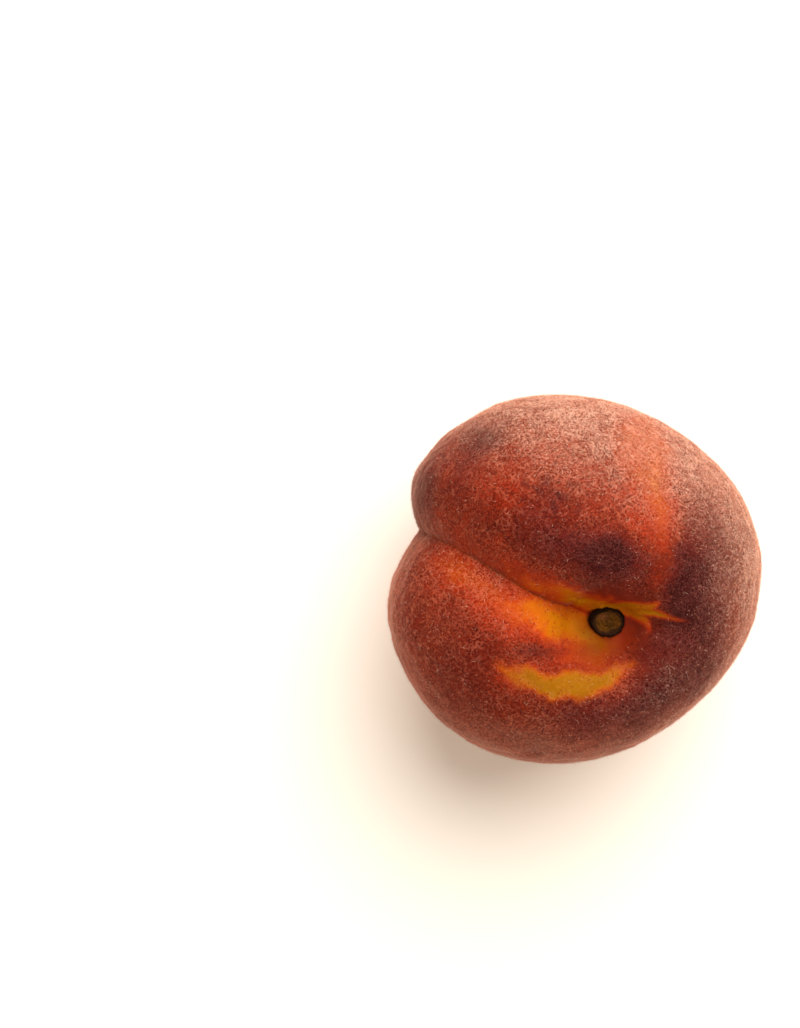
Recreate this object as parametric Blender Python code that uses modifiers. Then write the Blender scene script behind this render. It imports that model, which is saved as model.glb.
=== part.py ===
"""A ripe peach, as picked, lying with its stem hollow up and its blossom end below.

The fruit is one solid: two cheeks parted by the suture, a stem hollow, a small blossom tip
and a small flat spot to rest on. The woody end of the stalk sits in a shallow socket on the
floor of the hollow, as its own piece.
"""

from math import acos, atan2, cos, exp, radians, sin

import bmesh
import bpy
from mathutils import Matrix, Vector

# ---- The fruit, in metres and in its own axes: X to the suture, Z up the core to the stem ----
CHEEK_RADIUS = 0.0374  # across the cheeks
CORE_HALF = 0.0345  # half the length along the core, before the hollow is sunk
SHOULDER_SWELL = 0.03  # share by which the stem end is fuller than the blossom end
SIDE_SHIFT = -0.00107  # the middle of the fruit's girth stands this far off the core
# Shares of the radius that make the girth uneven: (waves round the girth, cosine, sine).
GIRTH_WAVES = ((2, 0.012, 0.013), (3, -0.018, -0.023))

# ---- The suture: a V-shaped furrow from the stem hollow down past the girth ----
SUTURE_DEPTH = 0.0069
SUTURE_NARROW_SIDE = 0.0123  # reach of the steep side, over the small cheek
SUTURE_BROAD_SIDE = 0.0205  # reach of the gentle side, over the large cheek
SUTURE_EASE = 1.5  # 1 is a straight V; more rounds the shoulders of the furrow
SUTURE_BEND = -0.085  # radians by which the furrow bows away from a straight meridian
SUTURE_VEER = -0.070
SUTURE_START = 0.008  # the furrow deepens over this far from the core
TIP_SHARE = 0.25  # share of the depth left near the blossom tip
TIP_LOW = -0.034  # height where the depth is down to that share, and the rise above it
TIP_RISE = 0.030
END_LOW = -0.036  # height where the furrow has run out, and the rise above it
END_RISE = 0.010

# ---- The stem hollow, the short crease behind it and the blossom tip ----
HOLLOW_DEPTH = 0.0100
HOLLOW_TO_SUTURE = 0.0105  # reach of the hollow's wall towards the suture
HOLLOW_TO_BACK = 0.0085
HOLLOW_BROAD = 0.0105  # over the large cheek
HOLLOW_STEEP = 0.0075  # over the small cheek
CREASE_DEPTH = 0.0012
CREASE_REACH = 0.017  # from the core to where the crease has run out
CREASE_HALF = 0.0026
CREASE_START = 0.004  # lengths over which it deepens and runs out
CREASE_END = 0.008
CREASE_HEADING = radians(-162)
BLOSSOM_TIP = 0.0011
BLOSSOM_TIP_RADIUS = 0.0032

# ---- A shallow flat where the fruit grew against a branch ----
PRESSED_DEPTH = 0.0007
PRESSED_RADIUS = 0.0150
PRESSED_HEADING = radians(-47)

# ---- How the fruit lies ----
LEAN = radians(21.6)  # the core leans this far from upright
LEAN_HEADING = radians(-48.8)
SUTURE_HEADING = radians(163.3)
REST_SHAVE = 0.0010  # thickness taken off below, which leaves the flat to rest on

# ---- The stalk end and its socket ----
SCAR_ALONG = 0.0036  # half the length, along the suture
SCAR_ACROSS = 0.0030
SCAR_FOOT = 0.97  # share of the half width left at the bottom of the socket
SOCKET_DEPTH = 0.0012  # below the floor of the hollow
GAP = 0.0003  # clearance between the two pieces
CUTTER_TALL = 0.012  # reaches well above the hollow's floor
# The turned top of the stalk end: share of its half width, height over the hollow's floor.
SCAR_TOP = (
    (0.00, 0.00005),
    (0.14, 0.00015),
    (0.24, -0.00008),
    (0.36, 0.00008),
    (0.48, -0.00016),
    (0.62, -0.00006),
    (0.72, -0.00020),
    (0.80, 0.00028),
    (0.88, 0.00055),
    (0.96, 0.00038),
    (1.00, 0.00000),
)

# ---- How fine the meshes are ----
MERIDIANS = 96
RINGS = 44
RING_CROWDING = 0.45
MERIDIAN_CROWDING = 0.45
SCAR_SIDES = 40


def clear_scene():
    for obj in list(bpy.data.objects):
        bpy.data.objects.remove(obj, do_unlink=True)


def new_collection(name):
    collection = bpy.data.collections.new(name)
    bpy.context.scene.collection.children.link(collection)
    return collection


def ease(share):
    """0 below 0, 1 above 1 and a smooth rise between."""
    share = min(max(share, 0.0), 1.0)
    return share * share * (3.0 - 2.0 * share)


def suture_turn(t):
    """Angle round the core by which the furrow has left its meridian at polar angle t."""
    return SUTURE_BEND * sin(2.0 * t) + SUTURE_VEER * sin(t)


def girth_share(t, around):
    """Uneven cheeks: each wave grows from nothing at the two ends to its full size at the girth."""
    share = 1.0
    for waves, along, across in GIRTH_WAVES:
        grown = sin(t) ** waves
        share += grown * (along * cos(waves * around) + across * sin(waves * around))
    return share


def suture_cut(t, around, height):
    """Depth of the furrow at a point of the plain body."""
    off = around - suture_turn(t)
    side = CHEEK_RADIUS * sin(t) * sin(off)
    ahead = CHEEK_RADIUS * sin(t) * cos(off)
    reach = SUTURE_BROAD_SIDE if side > 0.0 else SUTURE_NARROW_SIDE
    profile = max(0.0, 1.0 - abs(side) / reach) ** SUTURE_EASE
    fade = TIP_SHARE + (1.0 - TIP_SHARE) * ease((height - TIP_LOW) / TIP_RISE)
    run_out = ease((height - END_LOW) / END_RISE)
    return SUTURE_DEPTH * profile * fade * ease(ahead / SUTURE_START) * run_out


def crease_cut(point):
    """Depth of the short crease that runs on from the hollow, opposite the suture."""
    along = point.x * cos(CREASE_HEADING) + point.y * sin(CREASE_HEADING)
    across = point.y * cos(CREASE_HEADING) - point.x * sin(CREASE_HEADING)
    run = ease(along / CREASE_START) * ease((CREASE_REACH - along) / CREASE_END)
    return CREASE_DEPTH * run * exp(-((across / CREASE_HALF) ** 2))


def hollow_cut(point):
    wide = HOLLOW_TO_SUTURE if point.x > 0.0 else HOLLOW_TO_BACK
    deep = HOLLOW_BROAD if point.y > 0.0 else HOLLOW_STEEP
    return HOLLOW_DEPTH * exp(-((point.x / wide) ** 2) - (point.y / deep) ** 2)


def skin_point(t, meridian):
    """The skin in the fruit's own axes, at a polar angle from the stem end and a meridian.

    The meridian at angle 0 follows the bottom of the furrow.
    """
    around = meridian + suture_turn(t) * (1.0 + cos(meridian)) / 2.0
    radius = CHEEK_RADIUS * sin(t) * (1.0 + SHOULDER_SWELL * cos(t)) * girth_share(t, around)
    point = Vector((
        radius * cos(around),
        radius * sin(around) + SIDE_SHIFT * sin(t) ** 2,
        CORE_HALF * cos(t),
    ))
    point -= point.normalized() * suture_cut(t, around, point.z)
    if point.z > 0.0:
        point.z -= hollow_cut(point) + crease_cut(point)
    else:
        off_core = point.xy.length
        point.z -= BLOSSOM_TIP * exp(-((off_core / BLOSSOM_TIP_RADIUS) ** 2))
    return point


def lying_axes():
    """Turns the fruit's own axes into the position it lies in."""
    core = Vector((
        sin(LEAN) * cos(LEAN_HEADING),
        sin(LEAN) * sin(LEAN_HEADING),
        cos(LEAN),
    ))
    front = Vector((cos(SUTURE_HEADING), sin(SUTURE_HEADING), 0.0))
    front = (front - core * front.dot(core)).normalized()
    side = core.cross(front)
    return Matrix((front, side, core)).transposed().to_4x4()


def press_side(point):
    """Flattens the skin a little round the pressed place."""
    towards = Vector((cos(PRESSED_HEADING), sin(PRESSED_HEADING), 0.0))
    away = (point - towards * CHEEK_RADIUS).length
    return point - towards * PRESSED_DEPTH * exp(-((away / PRESSED_RADIUS) ** 2))


def crowded_polar(t):
    """Rings crowd towards the stem end, where the hollow needs them."""
    return t - RING_CROWDING * sin(t) * (1.0 + cos(t)) / 2.0


def crowded_meridian(angle):
    """Meridians crowd towards the suture."""
    return angle - MERIDIAN_CROWDING * sin(angle)


def shape_fruit():
    """The skin from a sphere, moved point by point, laid down and shaved flat below.

    It also returns the move that puts the middle of the footprint over the origin.
    """
    skin = bmesh.new()
    bmesh.ops.create_uvsphere(skin, u_segments=MERIDIANS, v_segments=RINGS, radius=1.0)
    lying = lying_axes()
    for vert in skin.verts:
        t = crowded_polar(acos(min(max(vert.co.z, -1.0), 1.0)))
        meridian = crowded_meridian(atan2(vert.co.y, vert.co.x))
        vert.co = press_side(lying @ skin_point(t, meridian))
    floor = min(vert.co.z for vert in skin.verts) + REST_SHAVE
    cut = bmesh.ops.bisect_plane(
        skin,
        geom=skin.verts[:] + skin.edges[:] + skin.faces[:],
        plane_co=(0.0, 0.0, floor),
        plane_no=(0.0, 0.0, -1.0),
        clear_outer=True,
    )
    rim = [item for item in cut["geom_cut"] if isinstance(item, bmesh.types.BMEdge)]
    bmesh.ops.edgeloop_fill(skin, edges=rim)
    bmesh.ops.recalc_face_normals(skin, faces=skin.faces[:])
    xs = [vert.co.x for vert in skin.verts]
    ys = [vert.co.y for vert in skin.verts]
    move = Vector((-(min(xs) + max(xs)) / 2.0, -(min(ys) + max(ys)) / 2.0, -floor))
    bmesh.ops.translate(skin, verts=skin.verts[:], vec=move)
    return skin, move


def object_from(shape, name, collection):
    mesh = bpy.data.meshes.new(name)
    shape.to_mesh(mesh)
    shape.free()
    obj = bpy.data.objects.new(name, mesh)
    collection.objects.link(obj)
    return obj


def smooth_shaded(obj):
    for face in obj.data.polygons:
        face.use_smooth = True


def hollow_floor(move):
    """The place of the hollow's floor on the core, with the fruit's axes and an oval section."""
    floor = skin_point(0.0, 0.0)
    oval = Matrix.Diagonal((SCAR_ALONG, SCAR_ACROSS, 1.0, 1.0))
    return Matrix.Translation(move) @ lying_axes() @ Matrix.Translation(floor) @ oval


def add_socket(fruit, floor, cutters):
    """Cuts the oval socket that the stalk end grows out of."""
    plug = bmesh.new()
    bmesh.ops.create_cone(
        plug, cap_ends=True, segments=SCAR_SIDES, depth=CUTTER_TALL,
        radius1=1.0 + GAP / SCAR_ALONG, radius2=1.0 + GAP / SCAR_ALONG,
    )
    raised = (0.0, 0.0, CUTTER_TALL / 2.0 - SOCKET_DEPTH)
    bmesh.ops.translate(plug, verts=plug.verts[:], vec=raised)
    cutter = object_from(plug, "socket_cutter", cutters)
    cutter.matrix_world = floor
    cutter.hide_render = True
    cutter.display_type = "WIRE"
    cut = fruit.modifiers.new("socket", "BOOLEAN")
    cut.operation = "DIFFERENCE"
    cut.solver = "EXACT"
    cut.object = cutter


def make_stem_scar(floor, collection):
    """The stalk end: a turned oval plug with a raised rim round a ringed middle."""
    under = GAP - SOCKET_DEPTH
    profile = list(SCAR_TOP) + [(SCAR_FOOT, under), (0.0, under)]
    line = bmesh.new()
    dots = [line.verts.new((share, 0.0, height)) for share, height in profile]
    for first, second in zip(dots, dots[1:]):
        line.edges.new((first, second))
    scar = object_from(line, "stem_scar", collection)
    scar.matrix_world = floor
    turned = scar.modifiers.new("turned", "SCREW")
    turned.steps = SCAR_SIDES
    turned.render_steps = SCAR_SIDES
    turned.use_merge_vertices = True
    turned.merge_threshold = 0.00001
    turned.use_smooth_shade = True
    return scar


def paint(obj, name, colour, roughness):
    material = bpy.data.materials.new(name)
    material.use_nodes = True
    shader = material.node_tree.nodes["Principled BSDF"]
    shader.inputs["Base Color"].default_value = (*colour, 1.0)
    shader.inputs["Roughness"].default_value = roughness
    shader.inputs["Metallic"].default_value = 0.0
    obj.data.materials.append(material)


def main():
    clear_scene()
    peach = new_collection("peach")
    cutters = new_collection("cutters")
    skin, move = shape_fruit()
    fruit = object_from(skin, "fruit", peach)
    smooth_shaded(fruit)
    floor = hollow_floor(move)
    add_socket(fruit, floor, cutters)
    scar = make_stem_scar(floor, peach)
    paint(fruit, "fuzzy_skin", (0.52, 0.13, 0.07), 0.75)
    paint(scar, "dry_stalk", (0.13, 0.08, 0.04), 0.85)


main()
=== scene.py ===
# %% [markdown]
# # A ripe peach
# The packed model holds two solids: the fruit, and the woody end of its stalk, sunk in the
# hollow. This lesson dresses them with a fine skin that carries the blush and the golden
# patches, a cracked stalk end, and the short pale down that makes a peach look soft.
#
# Everything is placed in the packed model's own frame: metres, +Z up, the flat that the
# fruit rests on at height 0 and the middle of its footprint at the origin.

# %% Load the packed peach
from math import cos, pi, radians, sin

import bpy
import numpy as np
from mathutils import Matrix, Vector


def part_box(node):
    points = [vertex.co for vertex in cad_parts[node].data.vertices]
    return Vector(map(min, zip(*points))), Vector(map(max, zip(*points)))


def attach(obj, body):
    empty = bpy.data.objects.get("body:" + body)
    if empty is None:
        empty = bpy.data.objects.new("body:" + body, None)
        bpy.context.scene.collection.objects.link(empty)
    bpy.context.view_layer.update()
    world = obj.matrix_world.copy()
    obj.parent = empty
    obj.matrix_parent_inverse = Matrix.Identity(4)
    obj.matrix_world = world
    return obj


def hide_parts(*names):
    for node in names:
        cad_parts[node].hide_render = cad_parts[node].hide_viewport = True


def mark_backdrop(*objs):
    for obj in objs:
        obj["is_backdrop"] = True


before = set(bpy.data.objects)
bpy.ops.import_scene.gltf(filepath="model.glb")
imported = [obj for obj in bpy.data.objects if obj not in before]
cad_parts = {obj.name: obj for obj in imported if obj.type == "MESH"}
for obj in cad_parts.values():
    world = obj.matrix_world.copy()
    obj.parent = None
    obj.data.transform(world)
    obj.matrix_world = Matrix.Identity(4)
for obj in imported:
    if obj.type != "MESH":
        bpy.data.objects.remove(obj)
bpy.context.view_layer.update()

MM = 0.001
fruit_low, fruit_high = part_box("fruit")
scar_low, scar_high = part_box("stem_scar")
print("fruit box, mm:", [round(side / MM, 1) for side in fruit_high - fruit_low])

# %% [markdown]
# ## Camera
# The fruit is seen from straight above, a forearm's length away, and stands a little right
# of and below the middle of the view. The camera could be turned towards it, but one that
# points straight down keeps +Y at the top of the picture, so it is moved sideways instead.

# %% Camera
CAMERA_OVER_FRUIT = 0.3113  # from the top of the fruit to the lens
CAMERA_STANDS = (-0.0350, 0.0131)  # X and Y of the lens


def camera_above():
    data = bpy.data.cameras.new("camera")
    data.lens = 60.0
    data.sensor_width = 36.0
    data.clip_start = 0.01
    data.clip_end = 20.0
    camera = bpy.data.objects.new("camera", data)
    camera.location = (*CAMERA_STANDS, fruit_high.z + CAMERA_OVER_FRUIT)
    bpy.context.scene.collection.objects.link(camera)
    return camera


camera = camera_above()
bpy.context.scene.camera = camera
bpy.context.scene.view_settings.view_transform = "Standard"
print("camera height over the floor, mm:", round(camera.location.z / MM))

# %% [markdown]
# ## Floor
# A plain pale sheet takes the fruit's soft shadow. A studio sweep that curves up behind the
# object is the usual way, but from above only the flat part shows, so one large face does.
# It lies a hair's breadth under the fruit, since two faces at one height would flicker.

# %% Floor
FLOOR_HALF = 3.0
FLOOR_HEIGHT = -0.0001
PAPER_COLOUR = (0.94, 0.86, 0.76, 1.0)


def sheet_of_paper():
    corners = [(-FLOOR_HALF, -FLOOR_HALF), (FLOOR_HALF, -FLOOR_HALF),
               (FLOOR_HALF, FLOOR_HALF), (-FLOOR_HALF, FLOOR_HALF)]
    mesh = bpy.data.meshes.new("white_sheet")
    mesh.from_pydata([(x, y, FLOOR_HEIGHT) for x, y in corners], [], [(0, 1, 2, 3)])
    floor = bpy.data.objects.new("white_sheet", mesh)
    bpy.context.scene.collection.objects.link(floor)
    paper = bpy.data.materials.new("white_paper")
    paper.use_nodes = True
    shader = paper.node_tree.nodes["Principled BSDF"]
    shader.inputs["Base Color"].default_value = PAPER_COLOUR
    shader.inputs["Roughness"].default_value = 0.9
    mesh.materials.append(paper)
    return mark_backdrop(floor)


sheet_of_paper()
print("floor, m across:", 2.0 * FLOOR_HALF)

# %% [markdown]
# ## Light
# The light comes from one wide window beyond the far side of the fruit. An area lamp would
# do, but a sun lamp with a large angle is simpler: its light is the same at every distance,
# and the angle alone says how soft the shadow's edge is.

# %% Window light
WINDOW_WIDE = radians(62)
WINDOW_STRENGTH = 4.7
WINDOW_COLOUR = (1.0, 0.985, 0.96)
TOWARDS_WINDOW = Vector((0.28, 0.72, 0.80))


def window_light():
    data = bpy.data.lights.new("window", "SUN")
    data.energy = WINDOW_STRENGTH
    data.angle = WINDOW_WIDE
    data.color = WINDOW_COLOUR
    window = bpy.data.objects.new("window", data)
    window.rotation_euler = TOWARDS_WINDOW.to_track_quat("Z", "Y").to_euler()
    bpy.context.scene.collection.objects.link(window)
    return window


window = window_light()
print("window light, W/m2:", window.data.energy)

# %% [markdown]
# ## The room's own light
# Pale walls throw some of the light back, and fill the shadows with a warm tone. A flat
# world colour would do that too, but then a low view shows the fruit before a dull sheet.
# So the world is palest near the height of the table, and a little darker overhead.

# %% Pale room
WALLS_NEAR_TABLE = (0.90, 0.86, 0.81, 1.0)
WALLS_OVERHEAD = (0.63, 0.57, 0.505, 1.0)
WALLS_TURN = 0.35  # share of the way up where the overhead colour is reached


def pale_room():
    room = bpy.data.worlds.new("pale_room")
    room.use_nodes = True
    tree = room.node_tree
    direction = tree.nodes.new("ShaderNodeTexCoord")
    parts = tree.nodes.new("ShaderNodeSeparateXYZ")
    height = tree.nodes.new("ShaderNodeMapRange")
    height.inputs["From Min"].default_value = 0.0
    height.inputs["From Max"].default_value = WALLS_TURN
    walls = tree.nodes.new("ShaderNodeMix")
    walls.data_type = "RGBA"
    walls.inputs[6].default_value = WALLS_NEAR_TABLE
    walls.inputs[7].default_value = WALLS_OVERHEAD
    tree.links.new(direction.outputs["Generated"], parts.inputs[0])
    tree.links.new(parts.outputs["Z"], height.inputs["Value"])
    tree.links.new(height.outputs["Result"], walls.inputs[0])
    tree.links.new(walls.outputs[2], tree.nodes["Background"].inputs["Color"])
    return room


bpy.context.scene.world = pale_room()
print("world:", bpy.context.scene.world.name)

# %% [markdown]
# ## The form of the fruit
# A peach is a turned body with uneven cheeks, a furrow down one side (botanists call it the
# suture), a hollow round the stalk, and a short crease that runs on behind it. It could be
# sculpted by hand, but a formula gives the same form at any fineness, so the packed solid
# and this skin agree. The sizes repeat the packed part's own, and each step starts with the
# ones that it needs.
#
# First the girth: one share of the radius for every direction, a little more or less than 1.

# %% The uneven girth
CHEEK_RADIUS = 0.0374
CORE_HALF = 0.0345
SHOULDER_SWELL = 0.03
SIDE_SHIFT = -0.00107
GIRTH_WAVES = ((2, 0.012, 0.013), (3, -0.018, -0.023))


def ease(share):
    """0 below 0, 1 above 1 and a smooth rise between."""
    share = np.clip(share, 0.0, 1.0)
    return share * share * (3.0 - 2.0 * share)


def girth_share(t, around):
    """Uneven cheeks: each wave grows from nothing at the two ends of the core."""
    share = 1.0
    for waves, along, across in GIRTH_WAVES:
        wave = along * np.cos(waves * around) + across * np.sin(waves * around)
        share = share + np.sin(t) ** waves * wave
    return share


quarters = np.arange(4) * pi / 2.0
print("radius at four sides, mm:", np.round(CHEEK_RADIUS / MM * girth_share(pi / 2.0, quarters), 1))

# %% [markdown]
# ## The furrow
# The furrow is a V, steep on the small cheek and gentle on the large one. Both sides meet
# in a line that bows a little off its meridian. It is cut as a depth that falls with the
# distance from that line, and it fades towards the blossom end.

# %% The furrow
SUTURE_DEPTH = 0.0069
SUTURE_NARROW_SIDE, SUTURE_BROAD_SIDE = 0.0123, 0.0205
SUTURE_EASE = 1.5
SUTURE_BEND, SUTURE_VEER = -0.085, -0.070
SUTURE_START = 0.008
TIP_SHARE, TIP_LOW, TIP_RISE = 0.25, -0.034, 0.030
END_LOW, END_RISE = -0.036, 0.010


def suture_turn(t):
    """Angle round the core by which the furrow has left its meridian."""
    return SUTURE_BEND * np.sin(2.0 * t) + SUTURE_VEER * np.sin(t)


def furrow_side(t, around):
    """Distance from the furrow's bottom, positive over the large cheek."""
    return CHEEK_RADIUS * np.sin(t) * np.sin(around - suture_turn(t))


def suture_cut(t, around, height):
    side = furrow_side(t, around)
    ahead = CHEEK_RADIUS * np.sin(t) * np.cos(around - suture_turn(t))
    reach = np.where(side > 0.0, SUTURE_BROAD_SIDE, SUTURE_NARROW_SIDE)
    profile = np.clip(1.0 - np.abs(side) / reach, 0.0, None) ** SUTURE_EASE
    fade = TIP_SHARE + (1.0 - TIP_SHARE) * ease((height - TIP_LOW) / TIP_RISE)
    run_out = ease((height - END_LOW) / END_RISE)
    return SUTURE_DEPTH * profile * fade * ease(ahead / SUTURE_START) * run_out


girth_cut = suture_cut(pi / 2.0, suture_turn(pi / 2.0), 0.0)
print("furrow at the girth, mm deep:", round(float(girth_cut) / MM, 1))

# %% [markdown]
# ## The hollow, the crease and the tip
# The hollow is a bell curve with a different reach in each of four directions, which gives
# the steep wall on the small cheek's side. The crease and the blossom tip are bell curves
# too. Bell curves have no edge, so the skin flows from one form into the next.

# %% The hollow, the crease and the tip
HOLLOW_DEPTH = 0.0100
HOLLOW_TO_SUTURE, HOLLOW_TO_BACK = 0.0105, 0.0085
HOLLOW_BROAD, HOLLOW_STEEP = 0.0105, 0.0075
CREASE_DEPTH, CREASE_REACH, CREASE_HALF = 0.0012, 0.017, 0.0026
CREASE_START, CREASE_END = 0.004, 0.008
CREASE_HEADING = radians(-162)
BLOSSOM_TIP, BLOSSOM_TIP_RADIUS = 0.0011, 0.0032


def hollow_cut(x, y):
    wide = np.where(x > 0.0, HOLLOW_TO_SUTURE, HOLLOW_TO_BACK)
    deep = np.where(y > 0.0, HOLLOW_BROAD, HOLLOW_STEEP)
    return HOLLOW_DEPTH * np.exp(-((x / wide) ** 2) - (y / deep) ** 2)


def crease_cut(x, y):
    along = x * cos(CREASE_HEADING) + y * sin(CREASE_HEADING)
    across = y * cos(CREASE_HEADING) - x * sin(CREASE_HEADING)
    run = ease(along / CREASE_START) * ease((CREASE_REACH - along) / CREASE_END)
    return CREASE_DEPTH * run * np.exp(-((across / CREASE_HALF) ** 2))


def skin_point(t, meridian):
    """Points of the skin in the fruit's own axes: X to the furrow, Z up the core."""
    around = meridian + suture_turn(t) * (1.0 + np.cos(meridian)) / 2.0
    swell = 1.0 + SHOULDER_SWELL * np.cos(t)
    radius = CHEEK_RADIUS * np.sin(t) * swell * girth_share(t, around)
    x = radius * np.cos(around)
    y = radius * np.sin(around) + SIDE_SHIFT * np.sin(t) ** 2
    z = CORE_HALF * np.cos(t)
    cut = suture_cut(t, around, z) / np.sqrt(x * x + y * y + z * z)
    x, y, z = x * (1.0 - cut), y * (1.0 - cut), z * (1.0 - cut)
    tip = BLOSSOM_TIP * np.exp(-(x * x + y * y) / BLOSSOM_TIP_RADIUS**2)
    z = z - np.where(z > 0.0, hollow_cut(x, y) + crease_cut(x, y), tip)
    return np.stack([x, y, z], axis=-1)


hollow_floor = skin_point(np.array([0.0]), np.array([0.0]))[0]
print("hollow's floor over the middle of the core, mm:", round(hollow_floor[2] / MM, 1))

# %% [markdown]
# ## How the fruit lies
# A peach rests on the side of its blossom end, so its core leans. The three rows of `LYING`
# are the fruit's own axes as they lie: multiplying by them turns every point at once. An
# object's rotation would do the same, but the colour maps need the places as they end up.

# %% How the fruit lies
LEAN, LEAN_HEADING = radians(21.6), radians(-48.8)
SUTURE_HEADING = radians(163.3)
PRESSED_DEPTH, PRESSED_RADIUS, PRESSED_HEADING = 0.0007, 0.0150, radians(-47)
CORE = np.array([sin(LEAN) * cos(LEAN_HEADING), sin(LEAN) * sin(LEAN_HEADING), cos(LEAN)])
TO_FURROW = np.array([cos(SUTURE_HEADING), sin(SUTURE_HEADING), 0.0])
FRONT = TO_FURROW - CORE * TO_FURROW.dot(CORE)
FRONT = FRONT / np.linalg.norm(FRONT)
LYING = np.stack([FRONT, np.cross(CORE, FRONT), CORE])


def laid_down(points):
    """Turns points from the fruit's own axes, and presses the one flattened place."""
    points = points @ LYING
    towards = np.array([cos(PRESSED_HEADING), sin(PRESSED_HEADING), 0.0])
    away = np.linalg.norm(points - towards * CHEEK_RADIUS, axis=-1)
    press = PRESSED_DEPTH * np.exp(-((away / PRESSED_RADIUS) ** 2))
    return points - press[..., None] * towards


print("the core points to:", np.round(CORE, 2))

# %% [markdown]
# ## A seat for the stalk end
# Where the stalk end meets the fruit, the skin rises to its rim and then turns down beside
# it. A Boolean cut could make the socket, but its ragged edge would spoil the fine grid, so
# the grid's own points are moved: settled to one height round the rim, sunk inside it.

# %% A seat for the stalk end
SCAR_ALONG, SCAR_ACROSS = 0.0036, 0.0030
SEAT_LIFT = 0.00030  # height of the skin over the hollow's floor where it meets the rim
SEAT_SLOPE = 0.0007
SEAT_SUNK = 0.0011
SEAT_REACH = 0.8  # the skin is settled this far past the rim, as a share of its radius
SOCKET_EDGE, SOCKET_WALL = 0.95, 0.08  # where the skin turns down, and over what share


def seat_for_stalk(points):
    x, y, z = points[:, 0], points[:, 1], points[:, 2]
    upper = z > 0.0
    out = np.sqrt((x / SCAR_ALONG) ** 2 + (y / SCAR_ACROSS) ** 2)
    edge = hollow_floor[2] + SEAT_LIFT + SEAT_SLOPE * np.clip(out - 1.0, 0.0, None)
    settle = (1.0 - ease((out - 1.0) / SEAT_REACH)) * upper
    z = z + settle * np.minimum(edge - z, 0.0)
    z = z - SEAT_SUNK * ease((SOCKET_EDGE - out) / SOCKET_WALL) * upper
    return np.stack([x, y, z], axis=1)


print("stalk end, mm:", 2.0 * SCAR_ALONG / MM, "by", 2.0 * SCAR_ACROSS / MM)

# %% [markdown]
# ## The skin's grid
# The skin is a grid of rings and meridians, like a globe's, wrapped round the core. Rings
# crowd towards the stem and meridians towards the furrow, where the form turns fastest. At
# this fineness the form needs no subdivision, and each point can carry the colour maps.

# %% The skin's points
MERIDIANS, RINGS = 324, 232
CROWDING = 0.40
REST_SHAVE = 0.0010  # the packed part's flat lies this far over the lowest point

step = np.arange(1, RINGS) * pi / RINGS
polar = step - CROWDING * np.sin(step) * (1.0 + np.cos(step)) / 2.0
turn = np.arange(MERIDIANS) * 2.0 * pi / MERIDIANS - pi
meridian = turn - CROWDING * np.sin(turn)
ring_t, ring_m = np.meshgrid(polar, meridian, indexing="ij")
flat_t = np.concatenate([[0.0], ring_t.ravel(), [pi]])
flat_m = np.concatenate([[0.0], ring_m.ravel(), [0.0]])
skin = laid_down(seat_for_stalk(skin_point(flat_t, flat_m)))

MOVE = np.array([
    -(skin[:, 0].min() + skin[:, 0].max()) / 2.0,
    -(skin[:, 1].min() + skin[:, 1].max()) / 2.0,
    -(skin[:, 2].min() + REST_SHAVE),
])
skin = skin + MOVE
print("skin points:", len(skin), "top, mm:", round(skin[:, 2].max() / MM, 2),
      "packed top, mm:", round(fruit_high.z / MM, 2))

# %% [markdown]
# ## Faces of the grid
# Four neighbours make a face, and a fan of triangles closes each pole. Every face lists its
# corners anticlockwise as seen from outside, because that order is how Blender knows which
# side is out. The direction that each point faces is the average of the faces round it.

# %% Faces, and the way each point faces


def grid_faces(rings, columns):
    """Quads between rings, and a fan of triangles at each pole."""
    ring = np.arange(rings - 1)[:, None] * columns
    column = np.arange(columns)[None, :]
    after = (column + 1) % columns
    quads = np.stack([ring + column, ring + columns + column,
                      ring + columns + after, ring + after], axis=-1).reshape(-1, 4) + 1
    last = (rings - 1) * columns + 1
    end = rings * columns + 1
    top = [(0, 1 + i, 1 + (i + 1) % columns) for i in range(columns)]
    bottom = [(end, last + (i + 1) % columns, last + i) for i in range(columns)]
    return quads, top + bottom


def facing(points):
    """The outward normal at each point, from the faces round it."""
    normals = np.zeros_like(points)
    first = points[quads[:, 2]] - points[quads[:, 0]]
    second = points[quads[:, 3]] - points[quads[:, 1]]
    face = np.cross(first, second)
    for corner in range(4):
        np.add.at(normals, quads[:, corner], face)
    normals[0], normals[-1] = CORE, -CORE
    return normals / np.linalg.norm(normals, axis=1)[:, None]


quads, fans = grid_faces(RINGS - 1, MERIDIANS)
normals = facing(skin)
turned_out = ((normals * (skin - skin.mean(axis=0))).sum(axis=1) > 0.0).mean()
print("share of points that face outwards:", round(float(turned_out), 2))

# %% [markdown]
# ## Tools for the colour maps
# The skin is golden where leaves and twigs shaded it, and red to nearly black where the sun
# reached it. Each finish gets a map: one number at every point of the skin, worked out from
# the point's place, which the material later turns into colour. Maps could be painted by
# hand in Blender's texture paint, but a map made of soft spots and bands, each with a place
# in millimetres, can be corrected one patch at a time.
#
# `ripple` is the natural unevenness: a sum of waves that run in every direction. It bends
# the spots and bands a little, so that no edge looks ruled.

# %% Places, and natural unevenness


def ripple(points, size, seed, waves=28):
    """Smooth unevenness of about this size, mostly from -1 to 1, the same at each run."""
    rng = np.random.default_rng(seed)
    ways = rng.normal(size=(waves, 3))
    ways /= np.linalg.norm(ways, axis=1)[:, None]
    ways *= 2.0 * pi / size * rng.uniform(0.6, 1.5, size=(waves, 1))
    starts = rng.uniform(0.0, 2.0 * pi, waves)
    total = np.zeros(points.shape[:-1])
    for way, start in zip(ways, starts):
        total += np.sin(points @ way + start)
    return total / waves**0.5


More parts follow.
